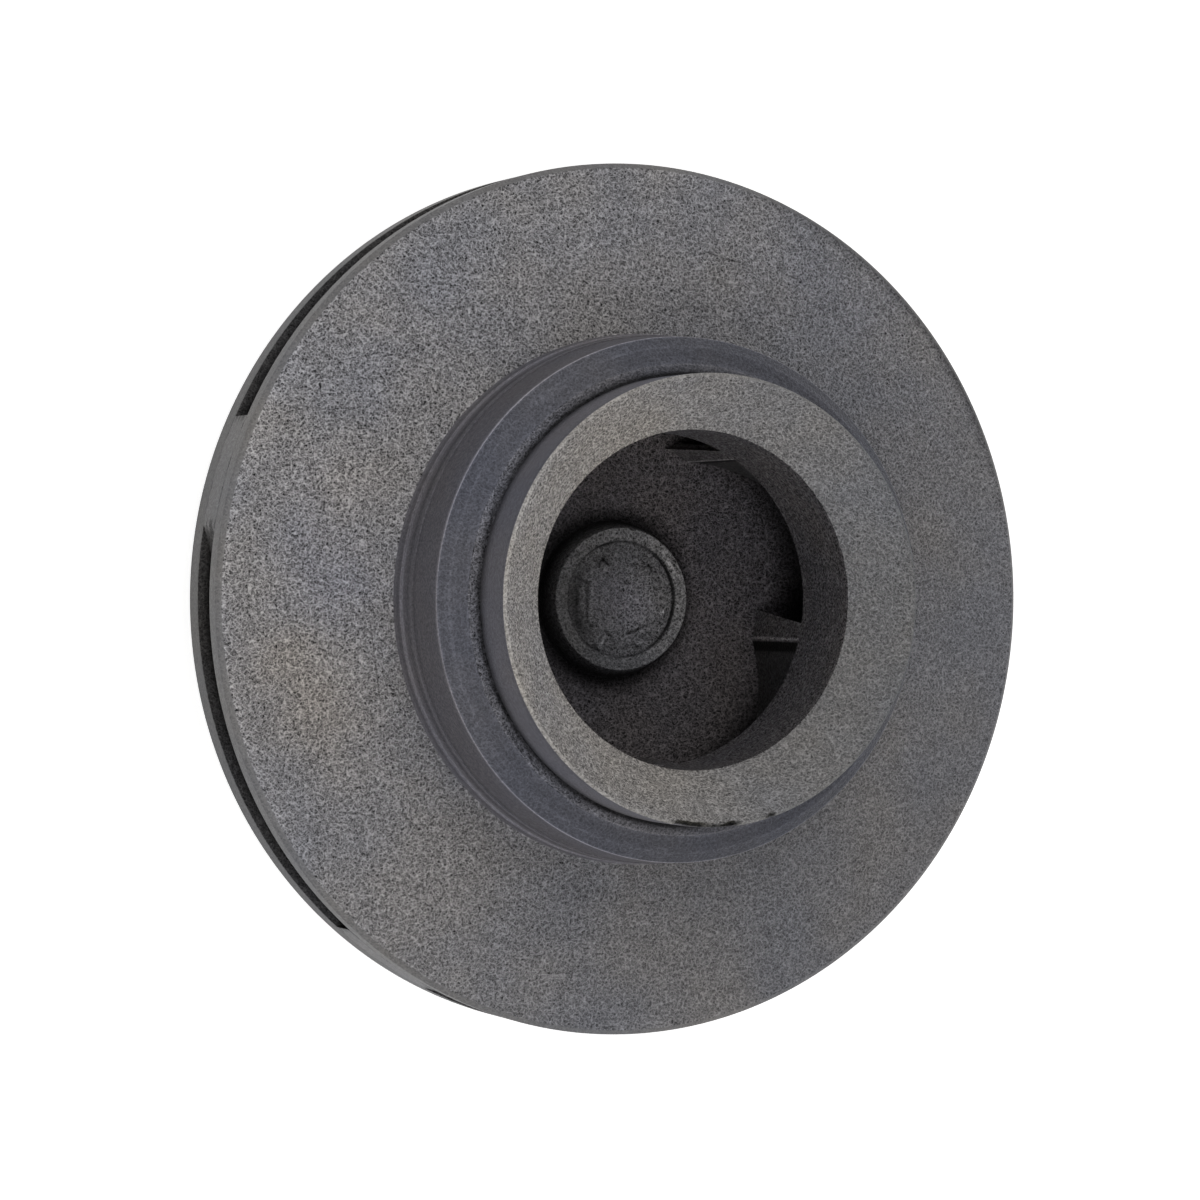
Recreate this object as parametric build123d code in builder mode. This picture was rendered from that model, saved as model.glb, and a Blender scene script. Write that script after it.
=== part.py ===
"""Closed pump impeller: a moulded vane body, a welded front shroud and a threaded shaft insert.

Millimetres. Z is the shaft's axis, the flat end of the hub stands at z = 0 and the eye looks up.
Seen from the eye the vanes sweep back clockwise towards the rim.
"""

from build123d import *
from math import cos, degrees, exp, log, radians, sin, tan
import os

os.makedirs("parts", exist_ok=True)

# ---- disc ----
disc_diameter = 127.0
back_thickness = 4.1
slot_width = 5.3
front_edge_thickness = 2.8
rim_chamfer = 0.7
back_rim_chamfer = 0.4
front_cone_rise = 3.15

# ---- hub on the back ----
hub_diameter = 26.0
hub_length = 12.0
hub_root_chamfer = 2.0
hub_chamfer = 0.8

# ---- step and neck of the front shroud ----
step_foot_diameter = 76.9
step_height = 14.1
step_draft = 3.7
bevel_width = 1.6
bevel_rise = 1.15
neck_diameter = 63.4
neck_foot_rise = 1.1
neck_length = 8.8
neck_edge_chamfer = 0.4
foot_bead_width = 1.7
foot_bead_height = 0.25

# ---- eye ----
eye_diameter = 48.0
eye_dish_depth = 6.6
eye_wall_length = 14.6
roof_cone_diameter = 66.0
roof_cone_rise = 4.0
roof_entry_angle = 58.0

# ---- nose in the eye ----
nose_top_diameter = 20.9
nose_base_diameter = 23.3
nose_height = 4.5
nose_ring_width = 1.85
nose_recess_depth = 0.6
nose_dome_rise = 0.35
nose_hexagon_flats = 10.8
nose_hexagon_rise = 0.4
pip_diameter = 0.9
pip_height = 0.5
pip_circle_diameter = 13.6
pip_angles = [48.0, 121.0, 184.0, 242.0, 293.0, 341.0]

# ---- vanes ----
vane_count = 5
inlet_corner_angle = 347.1
inlet_arc = 11.9
inlet_top_arc = 7.4
outlet_arc = 14.6
inlet_vane_angle = 29.7
vane_wrap = 119.2
vane_nose_chamfer = 1.2
side_points = 9

# ---- threaded shaft insert ----
insert_flats = 11.0
insert_length = 17.0
flange_diameter = 17.0
flange_thickness = 2.0
waist_flats = 9.4
waist_length = 2.0
waist_level = 8.0
tapping_diameter = 6.8
thread_depth = 13.0
drill_point_angle = 118.0
thread_mouth_chamfer = 0.7

# ---- chips on the neck's front edge: start angle, arc and depth ----
neck_chips = [(259.1, 17.1, 0.9), (285.0, 2.2, 0.5)]

# ---- levels and radii worked out from the sizes above ----
disc_radius = disc_diameter / 2
floor_level = hub_length + back_thickness
joint_level = floor_level + slot_width
rim_front = joint_level + front_edge_thickness
cone_edge_radius = disc_radius - rim_chamfer
cone_edge_level = rim_front + rim_chamfer
foot_radius = step_foot_diameter / 2
foot_level = cone_edge_level + front_cone_rise
step_top_level = foot_level + step_height
step_top_radius = foot_radius - step_height * tan(radians(step_draft))
bevel_radius = step_top_radius - bevel_width
bevel_level = step_top_level + bevel_rise
neck_radius = neck_diameter / 2
bead_radius = neck_radius + foot_bead_width
neck_foot_level = bevel_level + neck_foot_rise
neck_top_level = neck_foot_level + neck_length
eye_radius = eye_diameter / 2
dish_level = neck_top_level - eye_dish_depth
eye_end_level = dish_level - eye_wall_length
roof_cone_radius = roof_cone_diameter / 2
roof_cone_level = joint_level + roof_cone_rise
hub_radius = hub_diameter / 2
nose_top_radius = nose_top_diameter / 2
nose_level = floor_level + nose_height
recess_radius = nose_top_radius - nose_ring_width
recess_level = nose_level - nose_recess_depth
dome_level = recess_level + nose_dome_rise
thread_radius = tapping_diameter / 2
drill_point_level = thread_depth + thread_radius / tan(radians(drill_point_angle / 2))


def roof_lines():
    """Draw the passage's roof, a shallow cone from the rim and then a curve up to the eye's wall."""
    cone_run = disc_radius - roof_cone_radius
    entry = radians(roof_entry_angle)
    Line((disc_radius, joint_level), (roof_cone_radius, roof_cone_level))
    Spline(
        (roof_cone_radius, roof_cone_level),
        (eye_radius, eye_end_level),
        tangents=[(-cone_run, roof_cone_rise), (-cos(entry), sin(entry))],
    )


def polar(radius, angle):
    """Return the point at a radius and an angle in degrees."""
    return Vector(radius * cos(radians(angle)), radius * sin(radians(angle)))


def vane_side(start_angle, wrap, first_radius):
    """Return points along one side of a vane, from a first radius out to the rim.

    The angle falls with the logarithm of the radius. Its rate at the eye gives the inlet vane
    angle, and it grows evenly, so that the side has turned through the whole wrap at the rim.
    """
    growth = log(disc_radius / eye_radius)
    first_rate = degrees(1 / tan(radians(inlet_vane_angle)))
    rate_change = (wrap - first_rate * growth) / growth**2
    first_part = log(first_radius / eye_radius)
    points = []
    for place in range(side_points):
        part = first_part + (growth - first_part) * place / (side_points - 1)
        points.append(polar(eye_radius * exp(part), start_angle - first_rate * part - rate_change * part**2))
    return points


def round_edge(start, end, radius):
    """Draw the arc between two points that lie at one radius from the shaft's axis."""
    ThreePointArc(start, (start + end).normalized() * radius, end)


def vane_section(level, arc_at_eye):
    """Return a vane's section at a level: two sides, a blunt nose at the eye's radius and the rim's arc."""
    corner_angle = inlet_corner_angle + arc_at_eye
    inner_side = vane_side(inlet_corner_angle, vane_wrap, eye_radius)
    outer_side = vane_side(corner_angle, vane_wrap + arc_at_eye - outlet_arc, eye_radius + vane_nose_chamfer)
    nose_end = polar(eye_radius, corner_angle - degrees(vane_nose_chamfer / eye_radius))
    with BuildSketch(Plane.XY.offset(level)) as section:
        with BuildLine():
            Spline(*inner_side)
            round_edge(inner_side[-1], outer_side[-1], disc_radius)
            Spline(*outer_side)
            Line(nose_end, outer_side[0])
            round_edge(inner_side[0], nose_end, eye_radius)
        make_face()
    return section.sketch


# ---- one vane, cut to the passage between the floor and the roof ----
with BuildPart() as vane:
    loft([vane_section(floor_level, inlet_arc), vane_section(eye_end_level, inlet_top_arc)], ruled=True)
    with BuildSketch(Plane.XZ):
        with BuildLine():
            Polyline(
                (eye_radius, eye_end_level),
                (0, eye_end_level),
                (0, floor_level),
                (disc_radius, floor_level),
                (disc_radius, joint_level),
            )
            roof_lines()
        make_face()
    revolve(axis=Axis.Z, mode=Mode.INTERSECT)

# ---- shaft insert: a waisted hexagon with a flange at the hub's end and a tapped hole ----
with BuildPart() as shaft_insert:
    with BuildSketch():
        RegularPolygon(insert_flats / 2, 6, major_radius=False)
    extrude(amount=insert_length)
    with BuildSketch():
        Circle(flange_diameter / 2)
    extrude(amount=flange_thickness)
    with BuildSketch(Plane.XY.offset(waist_level)):
        Circle(flange_diameter / 2)
        RegularPolygon(waist_flats / 2, 6, major_radius=False, mode=Mode.SUBTRACT)
    extrude(amount=waist_length, mode=Mode.SUBTRACT)
insert_blank = shaft_insert.part
with shaft_insert:
    with BuildSketch(Plane.XZ):
        with BuildLine():
            Polyline(
                (0, 0),
                (thread_radius + thread_mouth_chamfer, 0),
                (thread_radius, thread_mouth_chamfer),
                (thread_radius, thread_depth),
                (0, drill_point_level),
                close=True,
            )
        make_face()
    revolve(axis=Axis.Z, mode=Mode.SUBTRACT)

# ---- vane body: hub, back shroud, nose and the ring of vanes, moulded as one ----
with BuildPart() as vane_body:
    with BuildSketch(Plane.XZ):
        with BuildLine():
            Polyline(
                (0, 0),
                (hub_radius - hub_chamfer, 0),
                (hub_radius, hub_chamfer),
                (hub_radius, hub_length - hub_root_chamfer),
                (hub_radius + hub_root_chamfer, hub_length),
                (disc_radius - back_rim_chamfer, hub_length),
                (disc_radius, hub_length + back_rim_chamfer),
                (disc_radius, floor_level),
                (nose_base_diameter / 2, floor_level),
                (nose_top_radius, nose_level),
                (recess_radius, nose_level),
                (recess_radius, recess_level),
            )
            TangentArc((0, dome_level), (recess_radius, recess_level), tangent=(1, 0))
            Line((0, dome_level), (0, 0))
        make_face()
    revolve(axis=Axis.Z)
    with BuildSketch(Plane.XY.offset(recess_level)):
        RegularPolygon(nose_hexagon_flats / 2, 6, major_radius=False)
    extrude(amount=nose_hexagon_rise)
    for pip_angle in pip_angles:
        with BuildSketch(Plane.XY.offset(recess_level)):
            with PolarLocations(pip_circle_diameter / 2, 1, start_angle=pip_angle):
                Circle(pip_diameter / 2)
        extrude(amount=pip_height)
    with PolarLocations(0, vane_count):
        add(vane.part)
    add(insert_blank, mode=Mode.SUBTRACT)

# ---- front shroud: cover disc, drafted step and neck, with the dished eye ----
with BuildPart() as front_shroud:
    with BuildSketch(Plane.XZ):
        with BuildLine():
            Polyline(
                (disc_radius, joint_level),
                (disc_radius, rim_front),
                (cone_edge_radius, cone_edge_level),
                (foot_radius, foot_level),
                (step_top_radius, step_top_level),
                (bevel_radius, bevel_level),
                (bead_radius, neck_foot_level - foot_bead_height),
                (bead_radius - foot_bead_height, neck_foot_level),
                (neck_radius, neck_foot_level),
                (neck_radius, neck_top_level - neck_edge_chamfer),
                (neck_radius - neck_edge_chamfer, neck_top_level),
                (eye_radius, dish_level),
                (eye_radius, eye_end_level),
            )
            roof_lines()
        make_face()
    revolve(axis=Axis.Z)
    for chip_start, chip_arc, chip_depth in neck_chips:
        turn = radians(chip_start)
        chip_plane = Plane((0, 0, 0), x_dir=(cos(turn), sin(turn), 0), z_dir=(sin(turn), -cos(turn), 0))
        with BuildSketch(chip_plane):
            with BuildLine():
                Polyline(
                    (neck_radius - chip_depth, neck_top_level),
                    (neck_radius, neck_top_level),
                    (neck_radius, neck_top_level - chip_depth),
                    close=True,
                )
            make_face()
        revolve(axis=Axis.Z, revolution_arc=chip_arc, mode=Mode.SUBTRACT)

# ---- write the three pieces ----
vane_body.part.label = "vane_body"
front_shroud.part.label = "front_shroud"
shaft_insert.part.label = "shaft_insert"
export_step(vane_body.part, "parts/vane_body.step")
export_step(front_shroud.part, "parts/front_shroud.step")
export_step(shaft_insert.part, "parts/shaft_insert.step")
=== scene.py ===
"""Looks of a closed pump impeller: the moulded skins, the turned neck and the threaded insert.

Lengths are millimetres in the classes and metres in the meshes. Z is the shaft's axis, the hub stands
on the floor at z = 0 and the eye looks up. Angles are degrees about Z, counted from +X.
"""

import logging
from dataclasses import dataclass
from enum import Enum
from typing import Optional, Union

import bmesh
import bpy
import numpy as np
from mathutils import Matrix, Vector


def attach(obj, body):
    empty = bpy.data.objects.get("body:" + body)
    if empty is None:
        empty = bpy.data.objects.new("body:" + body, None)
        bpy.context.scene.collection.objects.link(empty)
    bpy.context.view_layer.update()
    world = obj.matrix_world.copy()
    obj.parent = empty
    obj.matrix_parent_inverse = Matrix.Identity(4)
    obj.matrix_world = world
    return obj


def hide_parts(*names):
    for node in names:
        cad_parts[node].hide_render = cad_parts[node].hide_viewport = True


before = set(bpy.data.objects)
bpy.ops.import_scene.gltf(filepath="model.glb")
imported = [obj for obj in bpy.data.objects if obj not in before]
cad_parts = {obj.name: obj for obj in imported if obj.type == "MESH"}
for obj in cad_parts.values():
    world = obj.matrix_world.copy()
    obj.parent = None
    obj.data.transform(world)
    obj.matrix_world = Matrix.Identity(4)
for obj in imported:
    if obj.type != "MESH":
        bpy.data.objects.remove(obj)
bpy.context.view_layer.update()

MM = 0.001
SEED = 7
SHARP_ANGLE = np.radians(34.0)
MERGE_MM = 0.002
SLIVER_MM = 0.001
RIPPLE_BLUR = 14.0
LEAST_GAIN = 0.05
WHITE = (1.0, 1.0, 1.0, 1.0)
log = logging.getLogger("impeller")


# ---- finishes ----


class Zone(Enum):
    """Where on the object a stretch of surface lies, which settles its finish."""

    FACE = "coarse moulded face of the front shroud"
    RIM = "smooth moulded rim"
    WALL = "drafted wall of the step"
    SHOULDER = "turned shoulder above the step"
    FLASH = "rough band at the neck's foot"
    NECK = "turned neck"
    LAND = "narrow land round the neck's front edge"
    DISH = "coarse dished face round the eye"
    BORE = "wall of the eye"
    PASSAGE = "inside of the water passages"
    FLOOR = "floor of the eye"
    RING = "raised ring of the nose"
    NOSE = "recess and dome of the nose"
    BACK = "back of the disc"
    HUB = "hub"
    HIDDEN = "faces against another piece"


@dataclass(frozen=True)
class Finish:
    """How a stretch of surface looks: its colour and how rough, grainy and ringed it is."""

    tint: tuple[float, float, float]
    grain: float
    rough: float
    rings: float


FINISHES: dict[Zone, Finish] = {
    Zone.FACE: Finish((0.174, 0.173, 0.181), 1.08, 0.62, 0.0),
    Zone.RIM: Finish((0.150, 0.149, 0.152), 0.35, 0.50, 0.5),
    Zone.WALL: Finish((0.096, 0.094, 0.106), 0.40, 0.50, 0.6),
    Zone.SHOULDER: Finish((0.076, 0.078, 0.093), 0.50, 0.42, 1.0),
    Zone.FLASH: Finish((0.096, 0.097, 0.110), 0.7, 0.60, 0.0),
    Zone.NECK: Finish((0.130, 0.129, 0.146), 0.35, 0.42, 0.8),
    # The land's light tint is partly a painted highlight on the neck's front edge and partly wear.
    Zone.LAND: Finish((0.225, 0.219, 0.212), 0.6, 0.50, 0.0),
    Zone.DISH: Finish((0.222, 0.216, 0.213), 0.95, 0.62, 0.0),
    Zone.BORE: Finish((0.086, 0.082, 0.086), 1.6, 0.60, 2.2),
    # The dark tint of the passages and of the vanes' sides is painted shade: they lie in shade between the
    # shrouds.
    Zone.PASSAGE: Finish((0.050, 0.049, 0.050), 1.0, 0.60, 0.0),
    Zone.FLOOR: Finish((0.084, 0.078, 0.083), 1.35, 0.60, 0.0),
    Zone.RING: Finish((0.122, 0.121, 0.125), 1.1, 0.55, 0.0),
    Zone.NOSE: Finish((0.106, 0.105, 0.110), 1.2, 0.58, 0.0),
    Zone.BACK: Finish((0.170, 0.169, 0.173), 0.90, 0.60, 0.0),
    Zone.HUB: Finish((0.150, 0.149, 0.154), 0.40, 0.48, 0.8),
    Zone.HIDDEN: Finish((0.050, 0.050, 0.050), 0.20, 0.60, 0.0),
}


@dataclass(frozen=True)
class Drift:
    """A slow change round the axis: the tone and the grain rise towards an angle. Some drifts are painted
    light, where one side is lit better than the other.
    """

    zones: tuple[Zone, ...]
    angle: float
    tone: float
    grain: float
    tint: tuple[float, float, float] = (0.0, 0.0, 0.0)

    def apply_drift(self, skin: "Skin") -> None:
        """Spread the change over the rows of its zones, by the cosine of the angle from its own.

        Args:
            skin: the skin, changed in place.
        """
        turn = np.arctan2(skin.points[:, :, 1], skin.points[:, :, 0]) - np.radians(self.angle)
        share = np.cos(turn) * skin.within(self.zones)[:, None]
        skin.tone *= 1 + share[:, :, None] * (self.tone + np.array(self.tint))
        skin.grain *= 1 + share * self.grain


@dataclass(frozen=True)
class Band:
    """A change of tone that runs round the axis at one radius or level, as a bell of a width and a gain.
    Most bands are painted light: painted highlights on edges and painted shade in creases, corners and
    recesses.
    """

    zones: tuple[Zone, ...]
    axis: int
    place: float
    width: float
    gain: float
    uneven: float = 0.25
    start: float = 0.0
    arc: float = 360.0

    def lay(self, skin: "Skin", profile: "Profile", ripple: np.ndarray) -> None:
        """Scale the tone by 1 + (gain - 1) * exp(-(distance / width)^2), unevenly round the axis.

        Args:
            skin: the skin, changed in place.
            profile: its profile, whose radius (axis 0) or level (axis 1) gives the distance.
            ripple: smooth random values, one for each column.
        """
        away = (profile.points[:, self.axis] - self.place) / self.width
        bell = np.exp(-(away**2)) * skin.within(self.zones)
        gain = 1 + (self.gain - 1) * np.clip(1 + self.uneven * ripple, 0.0, 2.0)
        if self.arc < 360.0:
            angles = np.arange(len(ripple)) * 360.0 / len(ripple)
            gain = 1 + (gain - 1) * window(angles, self.start, self.arc, 0.3 * self.arc)
        skin.tone *= 1 + bell[:, None, None] * (np.maximum(gain, LEAST_GAIN) - 1)[None, :, None]


@dataclass(frozen=True)
class Stroke:
    """A soft patch seen from above: a line between two places, in mm, that scales each colour by a gain."""

    zones: tuple[Zone, ...]
    start: tuple[float, float]
    end: tuple[float, float]
    width: float
    gain: tuple[float, float, float]

    def lay(self, skin: "Skin") -> None:
        """Scale the tone by 1 + (gain - 1) * exp(-(distance from the line / width)^2).

        Args:
            skin: the skin, changed in place.
        """
        start, along = np.array(self.start), np.array(self.end) - np.array(self.start)
        place = skin.points[:, :, :2] - start
        share = np.clip(place @ along / max(along @ along, 1e-9), 0.0, 1.0)
        away = np.linalg.norm(place - share[:, :, None] * along, axis=2) / self.width
        bell = np.exp(-(away**2)) * skin.within(self.zones)[:, None]
        skin.tone *= 1 + bell[:, :, None] * (np.array(self.gain) - 1)


# ---- shader maths ----


class Signal:
    """One shader socket. Arithmetic on it adds Math nodes to its graph."""

    def __init__(self, graph: "Graph", socket: bpy.types.NodeSocket) -> None:
        """Wrap a socket.

        Args:
            graph: the graph that holds the socket's node.
            socket: an output socket.
        """
        self.graph = graph
        self.socket = socket

    def _math(self, operation: str, first: "Value", second: "Value") -> "Signal":
        """Add a Math node and return its output.

        Args:
            operation: the Math node's operation.
            first: its first value.
            second: its second value.

        Returns:
            The result as a signal.
        """
        node = self.graph.node("ShaderNodeMath", {"operation": operation}, {0: first, 1: second})
        return Signal(self.graph, node.outputs[0])

    def __add__(self, other: "Value") -> "Signal":
        """Return self + other."""
        return self._math("ADD", self, other)

    def __radd__(self, other: "Value") -> "Signal":
        """Return other + self."""
        return self._math("ADD", other, self)

    def __sub__(self, other: "Value") -> "Signal":
        """Return self - other."""
        return self._math("SUBTRACT", self, other)

    def __rsub__(self, other: "Value") -> "Signal":
        """Return other - self."""
        return self._math("SUBTRACT", other, self)

    def __mul__(self, other: "Value") -> "Signal":
        """Return self * other."""
        return self._math("MULTIPLY", self, other)

    def __rmul__(self, other: "Value") -> "Signal":
        """Return other * self."""
        return self._math("MULTIPLY", other, self)

    def __pow__(self, other: "Value") -> "Signal":
        """Return self to the power of other."""
        return self._math("POWER", self, other)


Value = Union[Signal, float, tuple]


class Graph:
    """The node tree of one material or of the world."""

    def __init__(self, name: str, tree: Optional[bpy.types.NodeTree] = None) -> None:
        """Make a material with an empty tree, or add to a tree that is given.

        Args:
            name: the material's name.
            tree: the world's tree, or None for a new material.
        """
        if tree is None:
            self.material = bpy.data.materials.new(name)
            self.material.use_nodes = True
            tree = self.material.node_tree
            tree.nodes.clear()
        self.tree = tree

    def node(self, kind: str, settings: dict, values: dict) -> bpy.types.Node:
        """Add a node, set it up and feed its sockets.

        Args:
            kind: the node's type.
            settings: its properties, which are set first.
            values: socket names or numbers with a value or a signal for each.

        Returns:
            The new node.
        """
        node = self.tree.nodes.new(kind)
        for key, value in settings.items():
            setattr(node, key, value)
        for key, value in values.items():
            if isinstance(value, Signal):
                self.tree.links.new(value.socket, node.inputs[key])
            else:
                node.inputs[key].default_value = value
        return node

    def signal(self, kind: str, settings: dict, values: dict, output: Union[str, int] = 0) -> Signal:
        """Add a node and return one of its outputs.

        Args:
            kind: the node's type.
            settings: its properties.
            values: its sockets' values.
            output: the output's name or number.

        Returns:
            The output as a signal.
        """
        return Signal(self, self.node(kind, settings, values).outputs[output])

    def seen(self) -> Signal:
        """Return 1 for rays from the camera and for glossy and transmission rays, else 0."""
        path = self.node("ShaderNodeLightPath", {}, {})
        seen = Signal(self, path.outputs["Is Camera Ray"])
        for kind in ("Is Glossy Ray", "Is Transmission Ray"):
            values = {0: seen, 1: Signal(self, path.outputs[kind])}
            seen = self.signal("ShaderNodeMath", {"operation": "MAXIMUM"}, values)
        return seen

    def noise(self, place: Signal, size_mm: float, detail: float, rough: float = 0.5) -> Signal:
        """Return noise about zero, roughly -0.5 to 0.5.

        Args:
            place: coordinates in metres.
            size_mm: the size of its lumps.
            detail: how many octaves it has.
            rough: how strong the finer octaves are.

        Returns:
            The noise less its mean.
        """
        values = {"Vector": place, "Scale": 1.0 / (size_mm * MM), "Detail": detail, "Roughness": rough}
        return self.signal("ShaderNodeTexNoise", {"noise_dimensions": "3D"}, values) - 0.5

    def lines(self, reach: Signal, pitch_mm: float, detail: float) -> Signal:
        """Return noise about zero along one length, as turning marks have.

        Args:
            reach: the length in metres.
            pitch_mm: the spacing of the marks.
            detail: how many octaves it has.

        Returns:
            The noise less its mean.
        """
        values = {"W": reach, "Scale": 1.0 / (pitch_mm * MM), "Detail": detail}
        return self.signal("ShaderNodeTexNoise", {"noise_dimensions": "1D"}, values) - 0.5

    def share(self, value: Signal, low: float, high: float) -> Signal:
        """Return how far a value lies from low to high, held between 0 and 1."""
        return self.signal("ShaderNodeMapRange", {}, {"Value": value, "From Min": low, "From Max": high})

    def bell(self, away: Signal, width: float, middle: float, edge: float) -> Signal:
        """Return a smooth step from one value at zero to another at a width.

        Args:
            away: the distance from the middle.
            width: the distance at which the step ends.
            middle: the value at zero.
            edge: the value from the width on.

        Returns:
            The step.
        """
        return self.signal("ShaderNodeMapRange", {"interpolation_type": "SMOOTHSTEP"}, {
            "Value": away, "From Min": 0.0, "From Max": width, "To Min": middle, "To Max": edge})

    def scaled(self, vector: "Value", factor: Signal) -> Signal:
        """Return a vector times a number."""
        return self.signal("ShaderNodeVectorMath", {"operation": "SCALE"}, {0: vector, "Scale": factor})

    def mixed(self, kind: str, factor: "Value", first: "Value", second: "Value") -> Signal:
        """Return two colours mixed by a blend type and a factor."""
        settings = {"data_type": "RGBA", "blend_type": kind}
        return self.signal("ShaderNodeMix", settings, {"Factor": factor, 6: first, 7: second}, 2)

    def vector(self, operation: str, first: "Value", second: "Value" = (0.0, 0.0, 0.0)) -> Signal:
        """Return a Vector Math node's result, which is a number for a dot product or a length.

        Args:
            operation: the node's operation.
            first: its first vector.
            second: its second vector.

        Returns:
            The result.
        """
        output = "Value" if operation in ("DOT_PRODUCT", "LENGTH") else "Vector"
        return self.signal("ShaderNodeVectorMath", {"operation": operation}, {0: first, 1: second}, output)

    def attribute(self, name: str, output: str) -> Signal:
        """Return an attribute of the mesh.

        Args:
            name: the attribute's name.
            output: Color or Fac.

        Returns:
            The attribute as a signal.
        """
        return self.signal("ShaderNodeAttribute", {"attribute_name": name}, {}, output)

    def finish(self, shader: bpy.types.Node) -> bpy.types.Material:
        """Connect a shader to the output.

        Args:
            shader: the shader's node.

        Returns:
            The material.
        """
        output = self.node("ShaderNodeOutputMaterial", {}, {})
        self.tree.links.new(shader.outputs[0], output.inputs["Surface"])
        return self.material


@dataclass(frozen=True)
class ScratchAndPaintedLight:
    """A scratch, a fine mark, a painted highlight and a painted shade line are each drawn as a straight
    line in plan between two (degrees, mm) places about the axis.

    Its width is in mm. Its depth is the share of the tone that it takes, and below 0 it adds to the tone.
    """

    start: tuple[float, float]
    end: tuple[float, float]
    width: float
    depth: float

    @staticmethod
    def plan(place: tuple[float, float]) -> tuple[float, float, float]:
        """Return a place's x and y in mm, with no height."""
        turn = np.radians(place[0])
        return (float(place[1] * np.cos(turn)), float(place[1] * np.sin(turn)), 0.0)

    def mask(self, g: Graph, flat: Signal) -> Signal:
        """Return its depth on the line, falling to 0 at its width.

        A place's share along the line is its dot product with the line over the squared length, held
        between 0 and 1, and its distance is that from the point at this share.

        Args:
            g: the graph.
            flat: object coordinates in mm with no height.

        Returns:
            The mask.
        """
        start, end = self.plan(self.start), self.plan(self.end)
        along = (end[0] - start[0], end[1] - start[1], 0.0)
        square = along[0] ** 2 + along[1] ** 2
        from_start = g.vector("SUBTRACT", flat, start)
        share = g.share(g.vector("DOT_PRODUCT", from_start, along), 0.0, square)
        away = g.vector("LENGTH", g.vector("SUBTRACT", from_start, g.scaled(along, share)))
        return g.bell(away, self.width, self.depth, 0.0)


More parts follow.
